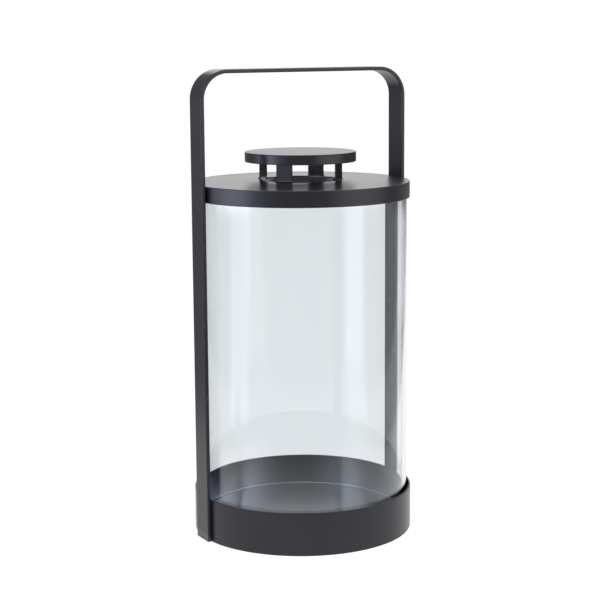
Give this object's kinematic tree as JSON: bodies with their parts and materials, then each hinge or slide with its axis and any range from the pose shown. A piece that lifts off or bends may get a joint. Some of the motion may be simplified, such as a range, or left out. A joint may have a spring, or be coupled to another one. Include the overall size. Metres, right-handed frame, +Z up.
{
  "type": "candle lantern",
  "caption": "Round candle lantern with a steel tray, a loose clear glass cylinder, a lift-off vented lid with a chimney cap and a flat strap carrying handle.",
  "frame": {"origin": "on the axis of the glass cylinder, at the surface that the lantern stands on", "axes": "+Z up, the handle's two legs at -X and +X, the side that the picture looks at mostly towards -Y"},
  "size_m": [0.1962, 0.19, 0.4],
  "materials": {
    "black_powder_coat": "satin black powder coat on sheet steel",
    "clear_glass": "clear, smooth, fire-polished at both ends"
  },
  "bodies": {
    "tray": {"base_ring": "black_powder_coat", "base_floor": "black_powder_coat", "handle_strap": "black_powder_coat"},
    "glass": {"glass_cylinder": "clear_glass"},
    "lid": {"lid_disc": "black_powder_coat", "lid_rim": "black_powder_coat", "cap_disc": "black_powder_coat", "cap_rim": "black_powder_coat", "vent_bracket_1": "black_powder_coat", "vent_bracket_2": "black_powder_coat", "vent_bracket_3": "black_powder_coat", "vent_bracket_4": "black_powder_coat"}
  },
  "joints": [
    {"name": "glass_lift", "type": "slide", "parent": "tray", "child": "glass", "axis": [0, 0, 1], "range_m": [0, 0.03]},
    {"name": "lid_lift", "type": "slide", "parent": "glass", "child": "lid", "axis": [0, 0, 1], "range_m": [0, 0.035]}
  ]
}
